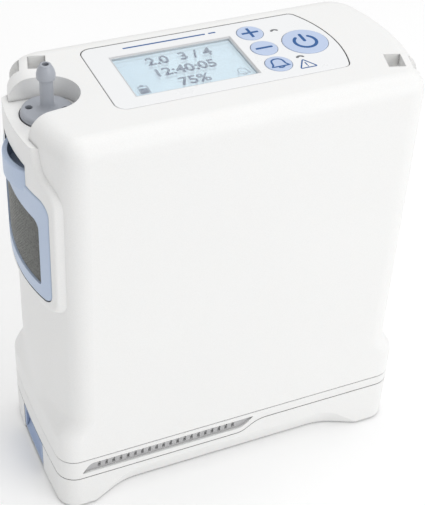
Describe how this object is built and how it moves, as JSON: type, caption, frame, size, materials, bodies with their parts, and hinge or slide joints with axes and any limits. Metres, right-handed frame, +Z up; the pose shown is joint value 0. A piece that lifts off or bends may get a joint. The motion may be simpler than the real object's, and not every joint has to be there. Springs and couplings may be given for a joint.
{
  "type": "portable oxygen concentrator",
  "caption": "Portable medical oxygen concentrator: shelled body with barbed outlet, display and keys on top, end intake filter, base vent and slide-off battery.",
  "frame": {"origin": "centre of the footprint, on the floor", "axes": "+Z up, front face towards -Y, barbed outlet and intake filter at the -X end, battery slides off towards +X"},
  "size_m": [0.1522, 0.068, 0.1812],
  "materials": {
    "housing_white": "fine matte moulded texture",
    "base_white": "fine matte moulded texture",
    "panel_white": "smooth satin overlay",
    "bezel_grey": "satin",
    "window_clear": "clear, glossy",
    "lcd_face": "flat",
    "button_blue": "satin",
    "filter_blue": "satin",
    "latch_blue": "satin",
    "screen_grey": "woven mesh",
    "nozzle_grey": "satin",
    "lens_smoke": "translucent",
    "pcb_green": "solder mask",
    "switch_black": "matte",
    "baffle_grey": "matte",
    "rubber_black": "matte",
    "hose_clear": "silicone",
    "cast_alu": "as cast",
    "machined_alu": "machined",
    "steel": "ground",
    "stator_steel": "laminated",
    "brass": "turned",
    "frame_grey": "moulded",
    "fan_black": "moulded",
    "valve_blue": "moulded",
    "cell_wrap": "shrink wrap",
    "felt_white": "felt",
    "media_beige": "granular"
  },
  "bodies": {
    "unit": {"base_chassis": "base_white", "base_screws": "steel", "battery_contact_block": "switch_black", "board_screws": "steel", "buzzer": "switch_black", "cannula_nozzle": "nozzle_grey", "column_base": "frame_grey", "column_header": "valve_blue", "compressor_screws": "steel", "compressor_tray": "machined_alu", "control_board": "pcb_green", "control_panel": "panel_white", "crankcase": "cast_alu", "cylinder_head_left": "cast_alu", "cylinder_head_right": "cast_alu", "cylinder_left": "machined_alu", "cylinder_right": "machined_alu", "dc_inlet_jack": "switch_black", "display_frame": "bezel_grey", "display_window": "window_clear", "exhaust_baffle": "baffle_grey", "fan_frame": "fan_black", "gas_hoses": "hose_clear", "inner_frame": "frame_grey", "intake_silencer": "frame_grey", "isolation_mounts": "rubber_black", "lcd_module": "lcd_face", "light_pipes": "lens_smoke", "main_bearings": "steel", "motor_housing": "machined_alu", "motor_stator": "stator_steel", "nozzle_nut": "brass", "o_rings": "rubber_black", "outlet_filter": "felt_white", "product_tank": "machined_alu", "service_port": "steel", "sieve_column_front": "machined_alu", "sieve_column_rear": "machined_alu", "sieve_media": "media_beige", "solenoid_valves": "switch_black", "tact_switches": "switch_black", "upper_housing": "housing_white", "valve_manifold": "valve_blue"},
    "crank": {"crankshaft": "steel", "motor_rotor": "stator_steel"},
    "rod_left": {"rod_piston_left": "machined_alu"},
    "rod_right": {"rod_piston_right": "machined_alu"},
    "fan": {"fan_rotor": "fan_black"},
    "key_plus": {"button_plus": "button_blue"},
    "key_minus": {"button_minus": "button_blue"},
    "key_bell": {"button_bell": "button_blue"},
    "key_power": {"button_power": "button_blue"},
    "filter": {"filter_frame": "filter_blue", "filter_screen": "screen_grey"},
    "battery": {"battery_case": "base_white", "battery_lid": "base_white", "battery_cells": "cell_wrap", "battery_board": "pcb_green", "latch_spring": "steel"},
    "battery_latch_key": {"battery_latch": "latch_blue"}
  },
  "joints": [
    {"name": "crank_spin", "type": "hinge", "parent": "unit", "child": "crank", "pos_m": [-0.015, 0, 0.08], "axis": [0, 1, 0], "continuous": true},
    {"name": "rod_left_pivot", "type": "hinge", "parent": "crank", "child": "rod_left", "pos_m": [-0.0135, 0, 0.08], "axis": [0, 1, 0], "continuous": true},
    {"name": "rod_right_pivot", "type": "hinge", "parent": "crank", "child": "rod_right", "pos_m": [-0.0135, 0, 0.08], "axis": [0, 1, 0], "continuous": true},
    {"name": "fan_spin", "type": "hinge", "parent": "unit", "child": "fan", "pos_m": [-0.038, 0, 0.03], "axis": [0, 0, 1], "continuous": true},
    {"name": "plus_press", "type": "slide", "parent": "unit", "child": "key_plus", "axis": [0, 0, -1], "range_m": [0, 0.0005]},
    {"name": "minus_press", "type": "slide", "parent": "unit", "child": "key_minus", "axis": [0, 0, -1], "range_m": [0, 0.0005]},
    {"name": "bell_press", "type": "slide", "parent": "unit", "child": "key_bell", "axis": [0, 0, -1], "range_m": [0, 0.0005]},
    {"name": "power_press", "type": "slide", "parent": "unit", "child": "key_power", "axis": [0, 0, -1], "range_m": [0, 0.0005]},
    {"name": "filter_lift_off", "type": "slide", "parent": "unit", "child": "filter", "axis": [-1, 0, 0], "range_m": [0, 0.025]},
    {"name": "battery_slide", "type": "slide", "parent": "unit", "child": "battery", "axis": [1, 0, 0], "range_m": [0, 0.16]},
    {"name": "latch_press", "type": "slide", "parent": "battery", "child": "battery_latch_key", "axis": [0, 0, -1], "range_m": [0, 0.002], "deforming": ["latch_spring"]}
  ],
  "couplings": [
    {"joint": "rod_left_pivot", "follows": "crank_spin", "ratio": -1},
    {"joint": "rod_right_pivot", "follows": "crank_spin", "ratio": -1}
  ]
}
